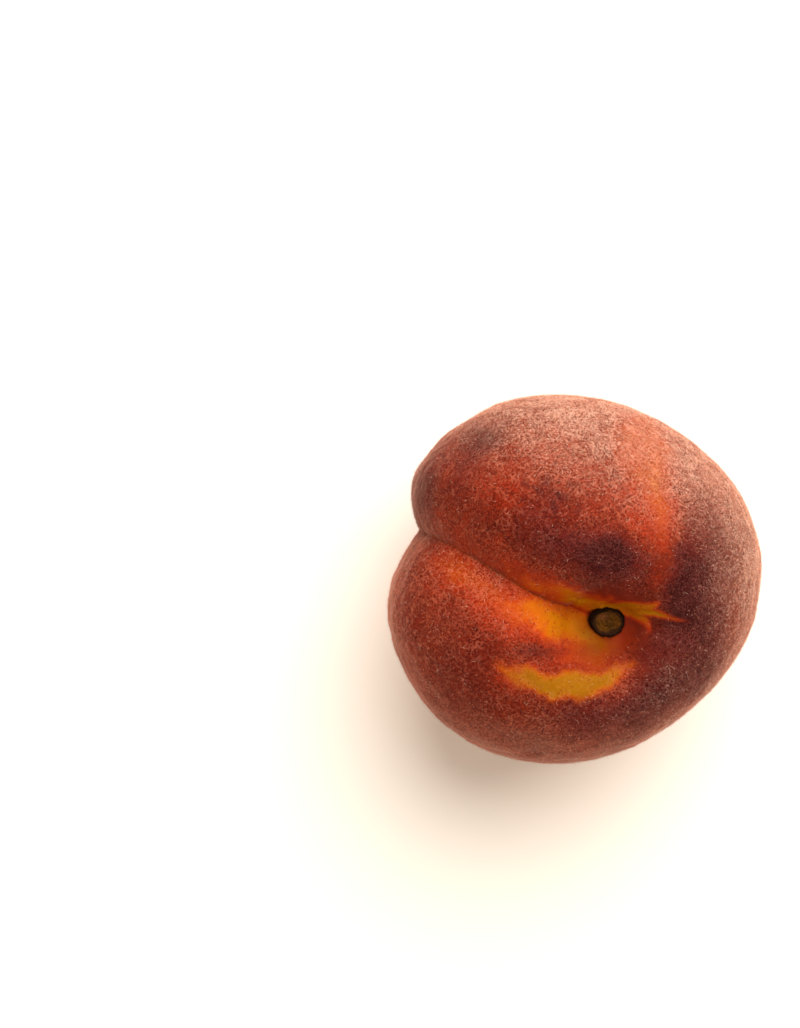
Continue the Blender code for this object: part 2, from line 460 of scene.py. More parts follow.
plan = skin[:, :2] / MM  # millimetres, seen from above
high = skin[:, 2] / MM
seen_side = ease((high - 20.0) / 10.0)  # the patches stay off the underside
wobble = np.stack([ripple(skin, 0.007, 11), ripple(skin, 0.007, 12)], axis=1)
wobble += 0.4 * np.stack([ripple(skin, 0.002, 13), ripple(skin, 0.002, 14)], axis=1)
print("edges wander by, mm:", round(float(0.5 * np.abs(wobble).max()), 1))

# %% [markdown]
# ## Spots and bands
# A spot is a soft oval, a bell curve in two directions. A band follows a path whose stops
# each have a half width and a strength, so it can swell, thin out and fade. Both are the
# brushes of this lesson.

# %% Spots and bands


def spot(x, y, long_half, short_half, heading=0.0):
    """A soft oval patch: 1 in the middle, about a third at the half sizes."""
    away = plan + 0.5 * wobble - np.array([x, y])
    a = radians(heading)
    along = away[:, 0] * cos(a) + away[:, 1] * sin(a)
    across = away[:, 1] * cos(a) - away[:, 0] * sin(a)
    return np.exp(-((along / long_half) ** 2) - (across / short_half) ** 2) * seen_side


def band(stops, soft, wander=0.5):
    """A band along a path; each stop is (x, y, half width, strength), and the edge is soft."""
    place = plan + wander * wobble
    best = np.zeros(len(place))
    for (x0, y0, w0, s0), (x1, y1, w1, s1) in zip(stops, stops[1:]):
        start, run = np.array([x0, y0]), np.array([x1 - x0, y1 - y0])
        share = np.clip(((place - start) @ run) / (run @ run), 0.0, 1.0)
        off = np.linalg.norm(place - start - share[:, None] * run, axis=1)
        inside = ease((w0 + (w1 - w0) * share + soft - off) / (2.0 * soft))
        best = np.maximum(best, inside * (s0 + (s1 - s0) * share))
    return best * seen_side


scar_middle = np.array([scar_low.x + scar_high.x, scar_low.y + scar_high.y]) / 2.0 / MM
HOLLOW_OVAL = np.array([0.93, 1.07])  # the hollow is a little longer than wide
from_scar = np.linalg.norm((plan - scar_middle) * HOLLOW_OVAL, axis=1)
# how far past the bottom of the furrow, in mm, positive over the large cheek
over = furrow_side(flat_t, flat_m + suture_turn(flat_t) * (1.0 + np.cos(flat_m)) / 2.0) / MM
large_cheek = ease(over / 1.2 + 0.5)  # 1 on the large cheek, 0 on the small one
print("middle of the stalk end, mm:", np.round(scar_middle, 1))

# %% [markdown]
# ## The golden patches
# Where a leaf lay on the fruit, or the hollow kept the sun out, the ground gold shows. There
# are four such patches: a tongue that runs out of the hollow over the large cheek, a
# crescent below it, a bird's foot of three toes behind the stalk, and the strip of the small
# cheek's wall beside the furrow.

# %% Gold
tongue = band([(-15.5, -3.2, 1.0, 0.30), (-11.5, -4.6, 1.8, 0.80), (-7.0, -6.4, 2.6, 1.0),
               (-1.5, -8.6, 3.0, 1.0), (3.2, -11.0, 1.5, 0.80)], 2.5) * large_cheek
crescent = band([(-17.5, -14.6, 0.2, 0.35), (-13.0, -17.0, 0.9, 0.85), (-7.0, -18.9, 1.9, 1.0),
                 (-1.5, -18.9, 2.4, 1.0), (3.5, -17.7, 1.7, 1.0), (8.4, -15.6, 0.3, 0.4)], 1.3)
foot = np.maximum.reduce([
    band([(1.5, -4.4, 1.0, 1.0), (5.5, -4.5, 1.1, 1.0), (9.5, -4.9, 1.4, 1.0),
          (12.6, -3.5, 0.4, 0.85)], 0.6, 0.15),
    band([(9.5, -5.0, 1.1, 1.0), (12.6, -5.4, 0.80, 1.0), (16.7, -6.5, 0.40, 0.8),
          (19.0, -7.1, 0.1, 0.3)], 0.60, 0.15),
    band([(9.5, -5.7, 1.0, 1.0), (11.2, -7.2, 0.65, 0.80), (11.7, -8.6, 0.40, 0.55),
          (11.2, -9.8, 0.1, 0.25)], 0.60, 0.15),
])
small_wall = band([(-24.0, 7.0, 0.8, 0.15), (-19.0, 4.4, 1.2, 0.35), (-14.0, 1.8, 1.6, 0.60),
                   (-9.0, -0.6, 2.0, 0.85), (-4.5, -2.2, 1.9, 1.0), (-0.4, -3.4, 1.6, 1.0),
                   (2.5, -4.0, 1.0, 1.0)], 1.8)
gold = np.maximum.reduce([tongue, crescent, foot])
print("share of skin that is golden:", round(float((gold > 0.5).mean()), 3))

# %% [markdown]
# ## The blush
# The blush is one map from 0 for gold, through orange at 0.3 and crimson at 0.7, to 1 for
# the darkest purple. It starts as an even crimson with slow clouds in it. Each patch then
# makes one place lighter or darker: the change, where it lies in millimetres, its half
# length and half width, and the heading of its length in degrees.

# %% Blush over the cheeks
LIGHTER_AND_DARKER = (
    (-0.08, 8.5, 12.0, 4.0, 8.0, 0),  # the orange streak's soft side
    (-0.14, -14.0, -17.0, 7.0, 3.0, 165),  # round the crescent's end
    (-0.05, -9.0, 21.0, 9.0, 5.0, 10),
    (0.20, -9.2, -12.6, 4.5, 2.0, 5),  # a dusky island between tongue and crescent
    (0.09, -22.0, -15.5, 5.0, 4.0, 0),
    (0.16, 0.5, 5.2, 12.5, 4.6, 172),  # the dark patch above the hollow, in three strokes
    (0.14, 3.5, 5.4, 7.5, 3.4, 172),
    (0.20, 4.5, 6.5, 3.5, 2.6, 0),
    (0.06, -6.0, 8.5, 7.0, 4.0, 165),
    (0.32, 18.2, -0.8, 4.2, 6.0, 0),  # the dark patches beyond the foot
    (0.24, 21.0, -8.0, 6.0, 9.0, 15),
    (0.16, 23.0, 7.0, 6.0, 9.0, 0),
    (0.12, 13.0, -12.3, 4.5, 3.5, 0),
    (0.13, 21.7, -19.0, 6.0, 4.0, 40),
    (0.24, 14.0, -20.5, 9.0, 4.0, 32),
    (0.12, 4.0, -25.0, 9.0, 4.0, 5),
    (0.10, -19.5, 27.0, 6.0, 4.0, 35),  # the dusky shoulder by the furrow's far end
    (0.22, -19.2, 27.0, 3.0, 2.0, 20),
    # painted shade: a darker upper left edge, as if shaded from beside the fruit
    (0.18, -32.0, 17.0, 10.0, 4.0, 65),
)
EVEN_CRIMSON = 0.690
streak = band([(12.8, -2.6, 0.6, 0.40), (13.4, 2.0, 0.9, 0.56), (13.9, 8.0, 1.5, 0.88),
               (13.7, 14.0, 2.1, 0.95), (12.4, 19.5, 3.4, 0.95), (10.6, 26.0, 6.0, 0.75)], 3.2)
blush = EVEN_CRIMSON + 0.025 * ripple(skin, 0.016, 15) + 0.015 * ripple(skin, 0.006, 16)
blush -= 0.31 * streak
for change, *oval in LIGHTER_AND_DARKER:
    blush += change * spot(*oval)
print("blush over the cheeks:", round(float(blush.min()), 2), "to", round(float(blush.max()), 2))

# %% [markdown]
# ## Blush in and round the hollow
# Light fell into the hollow at a slant, so it coloured one wall and not the other. Some
# patches stop at the furrow: they are multiplied by `large_cheek`, or by what it leaves
# for the small one. A few small nicks, where a twig rubbed, are a little darker.

# %% Blush round the hollow
NICKS = ((-7.9, 19.2, 0.8), (-9.6, 17.6, 0.6), (-5.6, 16.4, 0.9), (-11.2, 18.6, 0.5),
         (-4.0, 18.4, 0.6), (-7.2, 14.8, 0.7), (-12.8, 15.9, 0.5), (-2.4, 14.2, 0.5))
blush -= 0.11 * spot(-16.5, 5.6, 11.0, 3.6, 153) * (1.0 - large_cheek)
blush -= 0.25 * spot(-22.5, 1.2, 7.5, 3.2, 152) * large_cheek
blush -= 0.20 * spot(-15.0, -5.5, 9.0, 4.0, 155) * large_cheek
blush -= 0.24 * spot(-1.0, -13.8, 7.5, 2.2, 178)
blush -= 0.17 * spot(5.2, -11.0, 4.2, 2.6)
blush += 0.05 * spot(9.0, -14.0, 3.0, 2.0)
nicks = np.maximum.reduce([spot(x, y, 1.6 * half, half, 40.0 * x) for x, y, half in NICKS])
blush += 0.16 * nicks
beside_stalk = spot(-0.8, -4.8, 3.4, 2.2)  # the clearest gold of the wall
wall_blush = 0.34 - 0.17 * ease((plan[:, 0] + 8.0) / 7.0) + 0.05 * ripple(skin, 0.005, 18)
wall_blush -= 0.12 * beside_stalk
blush = blush * (1.0 - small_wall) + small_wall * wall_blush
blush = blush * (1.0 - gold) + gold * (0.16 + 0.04 * ripple(skin, 0.005, 17))
print("blush with the hollow:", round(float(blush.min()), 2), "to", round(float(blush.max()), 2))

# %% [markdown]
# ## Olive tone and painted shade
# Deep in the hollow the skin is a little olive, and it is darkened by painted shade, most of
# all on the near side of the stalk end. The foot and the streak get a little of the same dull
# tone. The map says how strongly the material should multiply its colour by a dull green.

# %% Map of the olive tone and painted shade
# painted shade in the hollow: strongest on the near side, weakest on the far side, fading out away
# from the stalk end
near_side = (scar_middle[1] - plan[:, 1]) / 3.0
painted_hollow_shade = 0.60 + 0.40 * ease(near_side) - 0.32 * ease(-near_side)
painted_hollow_shade *= ease((8.2 - from_scar) / 4.6) * (1.0 - 0.85 * ease((plan[:, 0] - 4.5) / 3.0))
painted_hollow_shade *= 1.0 - 0.6 * beside_stalk
# olive tone on the foot and the streak, and painted shade below the stalk end
olive = np.maximum.reduce([
    painted_hollow_shade, 0.30 * foot, 0.45 * streak, 1.00 * spot(3.0, -11.8, 7.0, 4.2, 178),
])
print("olive shade, share of skin:", round(float((olive > 0.5).mean()), 3))

# %% [markdown]
# ## The hidden side
# Below the widest line and round the blossom tip the sun never came. There the blush gives
# way to orange and then to clear gold with fine red stipple, as on the shaded side of any
# fruit of this kind. The change follows the height and a slow unevenness, and it is lower
# on the side that faced the light.

# %% Map of the shaded side
shade_line = 20.0 + 6.0 * ripple(skin, 0.050, 21) + 1.5 * ripple(skin, 0.014, 22)
shade_line = shade_line - 0.16 * plan[:, 1]
shaded = ease((shade_line - high) / 16.0)
blush = blush * (1.0 - shaded) + 0.04 * shaded
from_tip = np.linalg.norm((skin - skin[-1]) / MM, axis=1)
near_tip = np.exp(-((from_tip / 3.0) ** 2))
print("golden ground on the hidden side, share of skin:", round(float((shaded > 0.5).mean()), 3))

# %% [markdown]
# ## Where the skin is bare
# The hollow's walls carry almost no down, and a leaf has rubbed it thin on the golden
# patches. Bare skin is a little shinier and its colour is clearer. One map of it serves the
# material and the hairs alike, so the two always agree.

# %% Map of the bare skin
bare = np.maximum.reduce([
    ease((9.5 - from_scar) / 4.5),
    0.95 * tongue, 0.85 * small_wall, 0.9 * foot, 0.55 * crescent,
    0.85 * spot(0.5, -13.0, 8.0, 3.2, 178),
    0.5 * spot(13.2, 5.0, 1.8, 9.0),
    0.90 * spot(8.0, -10.5, 4.6, 4.0), 0.80 * spot(11.2, -14.0, 3.2, 4.6),
]) * seen_side
print("bare skin, share:", round(float((bare > 0.5).mean()), 3))

# %% [markdown]
# ## How thick the down stands
# Down is thickest on the shoulder that faced the light and thin over the middle. It is also
# thinner where the skin is darkest, which is why such places look deep. Two ripples of
# different size make it patchy, as if a thumb had passed over it.

# %% Map of the down
flank = 0.94 * plan[:, 1] + 0.34 * plan[:, 0]  # grows towards the light
thick = 0.20 + 0.88 * ease((flank - 9.0) / 24.0) + 0.60 * ease((plan[:, 0] - 18.0) / 17.0)
thick += 0.22 * ease((-24.0 - plan[:, 0]) / 9.0) + 0.30 * ease((-18.0 - plan[:, 1]) / 12.0)
thick += 0.40 * spot(15.0, -20.0, 8.0, 5.5, 30.0)
thick += 0.55 * spot(-20.5, 0.8, 9.0, 4.5, 152) * large_cheek
# thinner down there too, part of the same painted shade
thick *= 1.0 - 0.5 * spot(-32.0, 17.0, 10.0, 4.0, 65)
thick *= 1.0 + 0.22 * ripple(skin, 0.0045, 51) + 0.18 * ripple(skin, 0.012, 52)
thick *= 1.0 - 0.45 * ease((blush - 0.80) / 0.2) * ease((20.0 - plan[:, 0]) / 6.0)
# less down low on the left side, which leaves it darker: painted shade
below = 0.55 - 0.27 * ease((-20.0 - plan[:, 0]) / 12.0) + 0.10 * ripple(skin, 0.009, 54)
lower = ease((36.0 - high) / 22.0)
thick = np.clip(thick * (1.0 - lower) + below * lower, 0.1, 1.1) * (1.0 - bare)
print("down from", round(float(thick.min()), 2), "to", round(float(thick.max()), 2))

# %% [markdown]
# ## Haze, frost and silver: painted sheen
# Seen at a slant, many fine hairs lie one behind the other, and they veil the colour under
# them: warm where the light comes through, greyer on the far flanks. Real hairs alone would
# need millions to do that, so two thin veils of painted sheen help them: a warm one, lighter
# on the flank that faces the window, and a grey one on the right and lower flanks. A third map
# paints a highlight where the hairs look palest. On `low_flank`, the side turned away from the window,
# the veil is thin and uneven.

# %% Maps of the veils
sunny = ease((high - 22.0) / 20.0)
from_below = ease((plan[:, 1] + 12.0) / 15.0)
right_flank = ease((plan[:, 0] - 18.0) / 17.0)
# painted sheen: a warm veil, lighter on the flank towards the window and higher up
haze = 0.42 * ease((flank - 10.0) / 25.0) * sunny
haze *= 1.0 - 0.35 * ease((-12.0 - plan[:, 1]) / 10.0)
# painted sheen: a grey veil on the right and lower flanks
frost = 0.20 * ease((plan[:, 0] - 20.0) / 16.0) * from_below
frost += 0.26 * ease((-24.0 - plan[:, 1]) / 11.0) * (0.75 + 0.45 * ripple(skin, 0.014, 53))
frost *= sunny
low_flank = ease(((plan[:, 0] - plan[:, 1]) / 2.0**0.5 - 25.0) / 10.0)
low_flank *= 0.70 + 0.50 * ripple(skin, 0.014, 55)
# a thin, uneven painted sheen on the side away from the window
haze += 0.24 * low_flank * sunny
# painted highlight on the down: on the flank towards the window and on the right flank
silver = np.maximum(ease((flank - 11.0) / 21.0), right_flank * (0.45 + 0.55 * from_below))
silver *= 1.0 - 0.75 * streak
low_silver = np.maximum(0.22 * spot(15.0, -20.0, 7.0, 5.0, 30.0), 0.40 * low_flank)
silver = np.maximum(silver, low_silver) * sunny
cork = 0.85 * crescent  # the crescent's skin is a little corky, and duller than the gold
print("veils at their thickest:", round(float(haze.max()), 2), round(float(frost.max()), 2))

# %% [markdown]
# ## Low relief
# No grown skin is as even as a formula. A relief of a few tenths of a millimetre makes the
# outline and the highlights wander. Two of the foot's toes are shallow cracks, and the
# nicks are sunk a little too. The flat underneath stays flat.

# %% Relief over the whole skin
CRACKS = (  # depth in mm, and the stops of the band that is sunk
    (0.30, [(10.5, -5.1, 0.3, 1.0), (14.5, -5.9, 0.3, 0.8), (18.0, -6.8, 0.1, 0.3)]),
    (0.25, [(10.3, -6.2, 0.3, 1.0), (11.7, -7.8, 0.3, 0.8), (11.5, -9.6, 0.1, 0.3)]),
)
relief = 0.10 * ripple(skin, 0.009, 31) + 0.05 * ripple(skin, 0.0035, 32)
relief += 0.03 * ripple(skin, 0.0018, 33)
for depth, toe in CRACKS:
    relief -= depth * band(toe, 0.5)
relief -= 0.12 * nicks
relief *= ease((from_scar - 2.0) / 3.0)
skin = skin + normals * (relief * MM)[:, None]
skin[:, 2] = np.maximum(skin[:, 2], 0.0)
print("relief, mm:", round(float(relief.min()), 2), "to", round(float(relief.max()), 2))

# %% [markdown]
# ## A flat picture of the skin
# When the model leaves Blender, its colours have to be kept as a picture, and the picture
# needs a place on it for each corner of each face. A globe's own grid gives the simplest
# one: the meridian is the place across and the ring is the place up. Only the last meridian
# needs care, since its faces close the circle and end at the right edge, not at the left.

# %% Unwrapping the globe


def keep_places(mesh, places):
    layer = mesh.uv_layers.new(name="OFBake")
    layer.data.foreach_set("uv", np.ascontiguousarray(places.ravel(), np.float32))


def unwrap_globe(mesh):
    index = np.empty(len(mesh.loops), np.int32)
    mesh.loops.foreach_get("vertex_index", index)
    ring = np.where(index == 0, 0, (index - 1) // MERIDIANS + 1)
    starts = np.empty(len(mesh.polygons), np.int32)
    mesh.polygons.foreach_get("loop_start", starts)
    owner = np.repeat(np.arange(len(starts)), np.diff(np.append(starts, len(index))))
    pole = (index == 0) | (index == len(mesh.vertices) - 1)
    column = np.where(pole, -1, (index - 1) % MERIDIANS)
    most = np.full(len(starts), -1)
    np.maximum.at(most, owner, column)
    closing = (most[owner] == MERIDIANS - 1) & (column == 0)
    column = np.where(closing, MERIDIANS, column)
    column = np.where(pole, most[owner] - 0.5, column)
    keep_places(mesh, np.stack([column / MERIDIANS, 1.0 - ring / RINGS], axis=1))


print("the picture's grid:", MERIDIANS, "by", RINGS)

# %% [markdown]
# ## The skin's mesh
# The arrays become a mesh, and each map becomes an attribute of its points. The finished
# piece rides on the packed model's body and takes the plain solid's place.

# %% Build the skin
past_furrow = np.abs(over) + 9.0 * (1.0 - seen_side) + 9.0 * ease(plan[:, 0] - 0.5)
past_furrow += 0.35 * beside_stalk
SKIN_MAPS = {
    "blush": blush, "bare": bare, "thick": thick, "haze": haze, "frost": frost,
    "silver": silver, "cork": cork, "olive": olive, "near_tip": near_tip,
    "past_furrow": past_furrow,
}


def add_map(mesh, name, values):
    layer = mesh.attributes.new(name, "FLOAT", "POINT")
    layer.data.foreach_set("value", np.ascontiguousarray(values, np.float32))


def add_piece(name, mesh, replaced=None):
    """Puts a mesh in the scene as a piece that rides on the fruit's body."""
    piece = bpy.data.objects.new(name, mesh)
    bpy.context.scene.collection.objects.link(piece)
    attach(piece, "root")
    if replaced:
        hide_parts(replaced)
    return piece


skin_mesh = bpy.data.meshes.new("downy_skin")
skin_mesh.from_pydata(skin.tolist(), [], quads.tolist() + fans)
skin_mesh.update()
for name, values in SKIN_MAPS.items():
    add_map(skin_mesh, name, values)
unwrap_globe(skin_mesh)
skin_mesh.shade_smooth()
add_piece("downy_skin", skin_mesh, replaced="fruit")
print("skin triangles:", 2 * len(quads) + len(fans))

# %% [markdown]
# ## A helper for materials
# A material is a tree of small nodes. Placing each by hand in the shader editor is fine for
# ten of them, but the skin needs many more, and most repeat: noise of some size, a value
# stretched between two limits, one colour laid over another. This class adds them by name,
# so that a finish reads like a recipe.

# %% Nodes by name


class Shades:
    """Adds nodes to one material and links them."""

    def __init__(self, name):
        self.material = bpy.data.materials.new(name)
        self.material.use_nodes = True
        self.tree = self.material.node_tree
        self.shader = self.tree.nodes["Principled BSDF"]
        self.place = self.node("ShaderNodeTexCoord").outputs["Object"]

    def node(self, kind, **settings):
        node = self.tree.nodes.new(kind)
        for key, value in settings.items():
            setattr(node, key, value)
        return node

    def feed(self, socket, value):
        """Links a value to a socket, or sets the socket if the value is a plain one."""
        if isinstance(value, bpy.types.NodeSocket):
            self.tree.links.new(value, socket)
        elif isinstance(value, tuple):
            socket.default_value = (*value, 1.0)
        else:
            socket.default_value = value

    def finish(self, **sockets):
        """Feeds the shader's own sockets, by their names with _ for a space."""
        for name, value in sockets.items():
            self.feed(self.shader.inputs[name.replace("_", " ")], value)
        return self.material

    def map(self, name):
        return self.node("ShaderNodeAttribute", attribute_name=name).outputs["Fac"]

    def math(self, operation, *values):
        node = self.node("ShaderNodeMath", operation=operation)
        for socket, value in zip(node.inputs, values):
            self.feed(socket, value)
        return node.outputs[0]

    def times(self, first, second):
        return self.math("MULTIPLY", first, second)

    def between(self, value, low, high, to_low=0.0, to_high=1.0):
        """Stretches the values between low and high, and holds the rest at the ends."""
        node = self.node("ShaderNodeMapRange", interpolation_type="SMOOTHSTEP")
        for name, number in (("Value", value), ("From Min", low), ("From Max", high),
                             ("To Min", to_low), ("To Max", to_high)):
            self.feed(node.inputs[name], number)
        return node.outputs["Result"]

    def mix(self, below, above, share, blend="MIX"):
        node = self.node("ShaderNodeMix", data_type="RGBA", blend_type=blend)
        for socket, value in zip((node.inputs[0], node.inputs[6], node.inputs[7]),
                                 (share, below, above)):
            self.feed(socket, value)
        return node.outputs[2]

    def layer(self, below, above, share):
        """Lays one colour over another."""
        return self.mix(below, above, share)

    def tinted(self, colour, tint):
        """Multiplies a colour by a tint, as stained glass does."""
        return self.mix(colour, tint, 1.0, "MULTIPLY")

    def noise(self, size, detail, roughness):
        """Cloudy noise from 0 to 1 whose features are about this size, in metres."""
        node = self.node("ShaderNodeTexNoise")
        self.feed(node.inputs["Vector"], self.place)
        self.feed(node.inputs["Scale"], 1.0 / size)
        self.feed(node.inputs["Detail"], detail)
        self.feed(node.inputs["Roughness"], roughness)
        return node.outputs["Fac"]

    def dots(self, spacing, small, large):
        """Round dots, 1 in the middle: one to a cell of the given spacing."""
        node = self.node("ShaderNodeTexVoronoi", feature="F1")
        self.feed(node.inputs["Vector"], self.place)
        self.feed(node.inputs["Scale"], 1.0 / spacing)
        return self.between(node.outputs["Distance"], small, large, 1.0, 0.0)

    def curls(self, size, thick):
        """Thin curly lines, the contours of a cloudy noise."""
        off = self.math("ABSOLUTE", self.math("SUBTRACT", self.noise(size, 1.0, 0.4), 0.5))
        return self.between(off, thick * 0.3, thick, 1.0, 0.0)

    def bump(self, height, distance, strength, below=None):
        """Bends the light as relief of this height in metres would."""
        node = self.node("ShaderNodeBump")
        self.feed(node.inputs["Strength"], strength)
        self.feed(node.inputs["Distance"], distance)
        self.feed(node.inputs["Height"], height)
        if below is not None:
            self.feed(node.inputs["Normal"], below)
        return node.outputs["Normal"]


print("recipe words:", [word for word in vars(Shades) if not word.startswith("_")])

# %% [markdown]
# ## From gold to purple
# A ripening skin passes through one row of colours: green gold, gold, orange, scarlet,
# crimson, purple. So one colour ramp holds them in that order, and the blush map picks from
# it. Separate layers of red and orange would also work, but they make muddy seams where
# they cross, and a ramp can't.
#
# Real blush ends in a stipple of dots and never in a smooth fade. So dots and noise of three
# sizes are added to the map before the ramp reads it, and less of them on bare skin.

# %% The ripening colours
RIPENESS = (  # the blush, and the skin's colour there
    (0.00, (0.700, 0.330, 0.010)),
    (0.13, (0.450, 0.138, 0.002)),
    (0.27, (0.460, 0.088, 0.003)),
    (0.40, (0.410, 0.048, 0.005)),
    (0.55, (0.290, 0.024, 0.006)),
    (0.70, (0.155, 0.0150, 0.0060)),
    (0.85, (0.090, 0.0100, 0.0068)),
    (1.00, (0.042, 0.0062, 0.0055)),
)


def ripening_colour(s, clouds, mottle, grain):
    stipple = s.times(s.dots(1.10 * MM, 0.08, 0.28), s.between(mottle, 0.40, 0.62))
    uneven = s.times(stipple, 0.16)
    for noise, strength in ((mottle, 0.18), (grain, 0.20), (clouds, 0.08)):
        uneven = s.math("MULTIPLY_ADD", s.math("SUBTRACT", noise, 0.5), strength, uneven)
    calm = s.between(s.map("bare"), 0.4, 1.0, 1.0, 0.40)
    ramp = s.node("ShaderNodeValToRGB")
    stops = ramp.color_ramp.elements
    while len(stops) < len(RIPENESS):
        stops.new(1.0)
    for stop, (place, colour) in zip(stops, RIPENESS):
        stop.position = place
        stop.color = (*colour, 1.0)
    s.feed(ramp.inputs["Fac"], s.math("MULTIPLY_ADD", uneven, calm, s.map("blush")))
    return ramp.outputs["Color"]


print("colours from gold to purple:", len(RIPENESS))

# %% [markdown]
# ## Cork, olive tone and painted shade, crease and specks
# Four small things lie on the ripening colours. The crescent is a duller, corky gold. The
# hollow's olive tone and painted shade are multiplied in, as tinted glass would be, so its reds
# and golds still show. A soft brown line marks the bottom of the furrow, and fine red specks dot the
# golden skin.

# %% Marks on the skin
CORK = (0.235, 0.089, 0.002)
OLIVE_TONE_AND_SHADE = (0.40, 0.48, 0.33)
FURROW_LINE = (0.125, 0.028, 0.004)
RED_SPECK = (0.200, 0.026, 0.004)


def marked(s, colour, mottle):
    colour = s.layer(colour, CORK, s.map("cork"))
    # olive tone of the skin, and painted shade of the hollow
    colour = s.tinted(colour, s.layer((1.0, 1.0, 1.0), OLIVE_TONE_AND_SHADE, s.map("olive")))
    line = s.times(s.between(s.map("past_furrow"), 0.06, 0.42, 1.0, 0.0),
                   s.between(mottle, 0.30, 0.60, 0.25, 0.55))
    colour = s.layer(colour, FURROW_LINE, line)
    specks = s.times(s.dots(0.85 * MM, 0.12, 0.32), s.between(mottle, 0.40, 0.56))
    on_gold = s.between(s.map("blush"), 0.34, 0.50, 0.75, 0.0)
    return s.layer(colour, RED_SPECK, s.times(specks, on_gold))


print("marks on the skin: cork, olive stain, furrow line, specks")

# %% [markdown]
# ## The finest down, in colour
# The down has far more hairs than can be modelled. The thickest ones get meshes of their
# own later. The rest are drawn here as colour: light curls where hairs lie, darker lines of
# painted shade between them, painted shade under thick down, and two veils of painted sheen.
# Curls in the colour stay put from every side, as real hairs do, which a shine that follows the eye
# would not.

# %% The finest down
# colours of the painted sheen veils, and of the painted shade under and between hairs; open skin
# between the shade lines is a little lighter
WARM_PAINTED_SHEEN = (0.66, 0.27, 0.17)
GREY_PAINTED_SHEEN = (0.56, 0.38, 0.26)
PAINTED_SHADE_UNDER_DOWN = (0.66, 0.60, 0.58)
PAINTED_SHADE_BETWEEN_HAIRS = (0.64, 0.57, 0.55)
OPEN_SKIN = (1.12, 1.12, 1.12)
CURL_ON_RED, CURL_ON_PURPLE = (0.74, 0.185, 0.096), (0.30, 0.073, 0.058)
CURL_ON_GOLD, CURL_PAINTED_HIGHLIGHT = (0.80, 0.42, 0.10), (0.92, 0.54, 0.39)


def under_down(s, colour, grain):
    """The painted sheen of the veils, and painted shade under and between hairs."""
    grown = s.math("SUBTRACT", 1.0, s.map("bare"))
    soft = s.between(grain, 0.35, 0.65, 0.45, 1.0)
    # painted sheen: the warm and the grey veil
    colour = s.layer(colour, WARM_PAINTED_SHEEN, s.times(s.map("haze"), soft))
    colour = s.layer(colour, GREY_PAINTED_SHEEN, s.times(s.map("frost"), soft))
    # painted shade under thick down
    colour = s.tinted(colour, s.layer((1.0, 1.0, 1.0), PAINTED_SHADE_UNDER_DOWN, s.map("thick")))
    on_red = s.between(s.map("blush"), 0.30, 0.64, 0.15, 1.0)
    # painted shade in lines between hairs
    lines = s.times(s.curls(0.66 * MM, 0.110), s.times(grown, on_red))
    return s.tinted(colour, s.layer(OPEN_SKIN, PAINTED_SHADE_BETWEEN_HAIRS, lines))


def curls_of_down(s, colour, clouds, mottle):
    """Light curls, thicker and stronger where the down is."""
    coarse = s.times(s.curls(1.20 * MM, 0.075), s.between(mottle, 0.36, 0.62))
    fine = s.times(s.curls(0.60 * MM, 0.065), s.between(clouds, 0.36, 0.64))
    grown = s.math("SUBTRACT", 1.0, s.map("bare"))
    thick = s.times(s.math("MULTIPLY_ADD", s.map("thick"), 0.8, 0.2), grown)
    strength = s.times(thick, s.between(s.map("thick"), 0.3, 1.0, 0.52, 0.40))
    tint = s.layer(CURL_ON_RED, CURL_ON_PURPLE, s.between(s.map("blush"), 0.66, 0.86))
    tint = s.layer(tint, CURL_ON_GOLD, s.between(s.map("blush"), 0.26, 0.44, 1.0, 0.0))
    # painted highlight: curls turn pale where the down catches the light
    tint = s.layer(tint, CURL_PAINTED_HIGHLIGHT, s.map("silver"))
    return s.layer(colour, tint, s.times(s.math("MAXIMUM", coarse, fine), strength))


print("tints of the curls: red, purple, gold, silver")

# %% [markdown]
# ## The whole skin
# The colour is put together from the recipes above, with a small dark point at the blossom
# tip. Bare skin is smoother than downy skin. Pores and grain are too small to model, so
# they are bump. Sheen is the soft light that a fuzzy surface gives at its edge, so it fades
# out where the skin is bare. Its tint and spread are the same everywhere, and are set on
# the shader itself.

# %% The blushing skin
DARK_TIP = (0.045, 0.022, 0.010)


def blushing_skin():
    s = Shades("blushing_skin")
    clouds = s.noise(9.0 * MM, 3.0, 0.6)
    mottle = s.noise(2.2 * MM, 3.0, 0.65)
    grain = s.noise(0.60 * MM, 2.0, 0.6)
    colour = ripening_colour(s, clouds, mottle, grain)
    colour = marked(s, colour, mottle)
    colour = under_down(s, colour, grain)
    colour = curls_of_down(s, colour, clouds, mottle)
    colour = s.layer(colour, DARK_TIP, s.map("near_tip"))
    pores = s.bump(s.dots(1.10 * MM, 0.0, 0.45), 0.06 * MM, 0.5)
    return s.finish(
        Base_Color=colour,
        Roughness=s.between(s.map("bare"), 0.2, 1.0, 0.72, 0.46),
        Normal=s.bump(grain, 0.12 * MM, 0.6, pores),
        Specular_IOR_Level=0.02,
        Sheen_Weight=s.between(s.map("bare"), 0.1, 0.9, 0.60, 0.0),
        Sheen_Roughness=0.30,
        Sheen_Tint=(1.0, 0.55, 0.40),
    )


skin_mesh.materials.append(blushing_skin())
print("nodes in the skin:", len(skin_mesh.materials[0].node_tree.nodes))

# %% [markdown]
# ## The stalk end
# Where the fruit was picked, a dry plug of wood stays in the hollow: a dark, cracked rim
# round a lower middle with faint rings. It could be turned on a lathe, as the packed solid
# is, but real wood breaks unevenly. So a grid of rings and spokes is raised by a formula
# that knows the angle as well: the rim is notched in six places, and the middle is rough.

